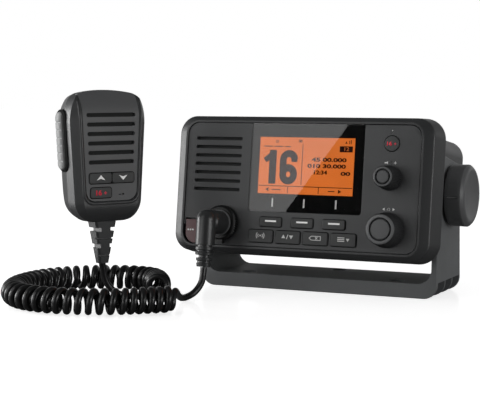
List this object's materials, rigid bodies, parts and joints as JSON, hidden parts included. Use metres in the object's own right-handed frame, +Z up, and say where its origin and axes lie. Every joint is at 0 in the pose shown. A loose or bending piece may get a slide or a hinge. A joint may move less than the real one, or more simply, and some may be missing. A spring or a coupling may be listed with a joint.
{
  "type": "vhf marine radio",
  "caption": "Marine VHF radio clamped in a tilting U bracket, with a fist microphone on a curly cord plugged into its face",
  "frame": {"origin": "centre of the bracket's foot, on the surface that it is screwed to", "axes": "+Z up, +X to the right of the face, +Y away from the operator"},
  "size_m": [0.2457, 0.2511, 0.124],
  "materials": {
    "housing": "fine matt texture",
    "bracket": "fine matt texture",
    "clamp": "satin",
    "window": "polished",
    "screen": "backlit",
    "key": "satin",
    "power_key": "satin",
    "knob": "satin",
    "knob_cap": "satin",
    "steel": "turned",
    "brass": "turned",
    "nickel": "nickel plated",
    "nylon": "matt",
    "plug": "satin",
    "foam": "closed cell foam",
    "board": "solder resist",
    "speaker": "satin",
    "distress": "satin",
    "distress_key": "satin",
    "mic_case": "fine matt texture",
    "mic_panel": "satin",
    "ptt_seat": "matt",
    "ptt": "satin",
    "cord": "glossy"
  },
  "bodies": {
    "bracket": {"mounting_bracket": "bracket", "cord_lead": "cord", "curly_cord": "cord", "mic_lead": "cord"},
    "radio": {"front_bezel": "housing", "front_panel": "housing", "display_glass": "window", "lcd_module": "screen", "circuit_board": "board", "speaker": "speaker", "rear_housing": "housing", "side_inserts": "brass", "mount_gasket": "foam", "antenna_connector": "nickel", "power_gland": "plug", "case_screws": "steel", "door_pin": "steel", "rotary_encoders": "nylon", "mic_socket": "nylon", "plug_body": "plug", "plug_boot": "plug"},
    "clamp_right_washer": {"clamp_washer_right": "nylon"},
    "clamp_right": {"clamp_knob_right": "clamp", "clamp_stud_right": "steel"},
    "clamp_left_washer": {"clamp_washer_left": "nylon"},
    "clamp_left": {"clamp_knob_left": "clamp", "clamp_stud_left": "steel"},
    "volume_switch": {"volume_plunger": "nylon"},
    "volume_control": {"volume_knob": "knob", "volume_cap": "knob_cap", "volume_shaft": "steel"},
    "select_switch": {"select_plunger": "nylon"},
    "select_control": {"select_knob": "knob", "select_cap": "knob_cap", "select_shaft": "steel"},
    "power_key": {"power_key": "power_key"},
    "soft_key_left": {"soft_key_left": "key"},
    "soft_key_centre": {"soft_key_centre": "key"},
    "soft_key_right": {"soft_key_right": "key"},
    "function_key_1": {"function_key_1": "key"},
    "function_key_2": {"function_key_2": "key"},
    "function_key_3": {"function_key_3": "key"},
    "function_key_4": {"function_key_4": "key"},
    "distress_door": {"distress_door": "distress"},
    "distress_key": {"distress_key": "distress_key"},
    "plug_ring": {"plug_ring": "nylon"},
    "microphone": {"mic_front_shell": "mic_case", "mic_rear_shell": "mic_case", "mic_panel": "mic_panel", "mic_hanger_stud": "mic_case", "mic_boot": "plug", "ptt_surround": "ptt_seat", "mic_speaker": "speaker", "mic_board": "board", "mic_screws": "steel"},
    "ptt_bar": {"ptt_bar": "ptt"},
    "mic_up_key": {"mic_up_key": "key"},
    "mic_down_key": {"mic_down_key": "key"},
    "mic_channel_key": {"mic_channel_key": "key"}
  },
  "joints": [
    {"name": "radio_tilt", "type": "hinge", "parent": "bracket", "child": "radio", "pos_m": [0, 0, 0.0607], "axis": [1, 0, 0], "range_deg": [-12, 10], "deforming": ["cord_lead"]},
    {"name": "clamp_right_slide", "type": "slide", "parent": "bracket", "child": "clamp_right_washer", "axis": [1, 0, 0], "range_m": [0, 0.002]},
    {"name": "clamp_right_turn", "type": "hinge", "parent": "clamp_right_washer", "child": "clamp_right", "pos_m": [0.0778, 0, 0.0607], "axis": [1, 0, 0], "range_deg": [0, 720]},
    {"name": "clamp_left_slide", "type": "slide", "parent": "bracket", "child": "clamp_left_washer", "axis": [-1, 0, 0], "range_m": [0, 0.002]},
    {"name": "clamp_left_turn", "type": "hinge", "parent": "clamp_left_washer", "child": "clamp_left", "pos_m": [-0.0778, 0, 0.0607], "axis": [-1, 0, 0], "range_deg": [0, 720]},
    {"name": "volume_push", "type": "slide", "parent": "radio", "child": "volume_switch", "axis": [0, 0.9912, -0.1323], "range_m": [0, 0.0008], "stiffness_N_per_m": 1500},
    {"name": "volume_turn", "type": "hinge", "parent": "volume_switch", "child": "volume_control", "pos_m": [0.0572, -0.04918, 0.07315], "axis": [0, 0.9912, -0.1323], "continuous": true},
    {"name": "select_push", "type": "slide", "parent": "radio", "child": "select_switch", "axis": [0, 0.9912, -0.1323], "range_m": [0, 0.0008], "stiffness_N_per_m": 1500},
    {"name": "select_turn", "type": "hinge", "parent": "select_switch", "child": "select_control", "pos_m": [0.0572, -0.05317, 0.04332], "axis": [0, 0.9912, -0.1323], "continuous": true},
    {"name": "power_key_press", "type": "slide", "parent": "radio", "child": "power_key", "axis": [0, 0.9912, -0.1323], "range_m": [0, 0.0006], "stiffness_N_per_m": 1200},
    {"name": "soft_key_left_press", "type": "slide", "parent": "radio", "child": "soft_key_left", "axis": [0, 0.9912, -0.1323], "range_m": [0, 0.0006], "stiffness_N_per_m": 1200},
    {"name": "soft_key_centre_press", "type": "slide", "parent": "radio", "child": "soft_key_centre", "axis": [0, 0.9912, -0.1323], "range_m": [0, 0.0006], "stiffness_N_per_m": 1200},
    {"name": "soft_key_right_press", "type": "slide", "parent": "radio", "child": "soft_key_right", "axis": [0, 0.9912, -0.1323], "range_m": [0, 0.0006], "stiffness_N_per_m": 1200},
    {"name": "function_key_1_press", "type": "slide", "parent": "radio", "child": "function_key_1", "axis": [0, 0.9912, -0.1323], "range_m": [0, 0.0006], "stiffness_N_per_m": 1200},
    {"name": "function_key_2_press", "type": "slide", "parent": "radio", "child": "function_key_2", "axis": [0, 0.9912, -0.1323], "range_m": [0, 0.0006], "stiffness_N_per_m": 1200},
    {"name": "function_key_3_press", "type": "slide", "parent": "radio", "child": "function_key_3", "axis": [0, 0.9912, -0.1323], "range_m": [0, 0.0006], "stiffness_N_per_m": 1200},
    {"name": "function_key_4_press", "type": "slide", "parent": "radio", "child": "function_key_4", "axis": [0, 0.9912, -0.1323], "range_m": [0, 0.0006], "stiffness_N_per_m": 1200},
    {"name": "distress_key_press", "type": "slide", "parent": "radio", "child": "distress_key", "axis": [0, 0.9912, -0.1323], "range_m": [0, 0.0006], "stiffness_N_per_m": 1200},
    {"name": "distress_door_hinge", "type": "hinge", "parent": "radio", "child": "distress_door", "pos_m": [-0.06725, -0.05205, 0.04337], "axis": [1, 0, 0], "range_deg": [-95, 0], "stiffness_Nm_per_rad": 0.004},
    {"name": "plug_ring_turn", "type": "hinge", "parent": "radio", "child": "plug_ring", "pos_m": [-0.04856, -0.05617, 0.04352], "axis": [0, 0.9912, -0.1323], "range_deg": [0, 45]},
    {"name": "mic_lift", "type": "slide", "parent": "bracket", "child": "microphone", "axis": [0, 0, 1], "range_m": [0, 0.08], "deforming": ["mic_lead"]},
    {"name": "ptt_press", "type": "slide", "parent": "microphone", "child": "ptt_bar", "axis": [0.471, 0.8821, 0], "range_m": [0, 0.002], "stiffness_N_per_m": 1200},
    {"name": "mic_up_key_press", "type": "slide", "parent": "microphone", "child": "mic_up_key", "axis": [-0.8821, 0.471, 0], "range_m": [0, 0.0006], "stiffness_N_per_m": 1200},
    {"name": "mic_down_key_press", "type": "slide", "parent": "microphone", "child": "mic_down_key", "axis": [-0.8821, 0.471, 0], "range_m": [0, 0.0006], "stiffness_N_per_m": 1200},
    {"name": "mic_channel_key_press", "type": "slide", "parent": "microphone", "child": "mic_channel_key", "axis": [-0.8821, 0.471, 0], "range_m": [0, 0.0006], "stiffness_N_per_m": 1200}
  ],
  "couplings": [
    {"joint": "clamp_right_turn", "follows": "clamp_right_slide", "rad_per_m": 6283.2},
    {"joint": "clamp_left_turn", "follows": "clamp_left_slide", "rad_per_m": 6283.2}
  ]
}
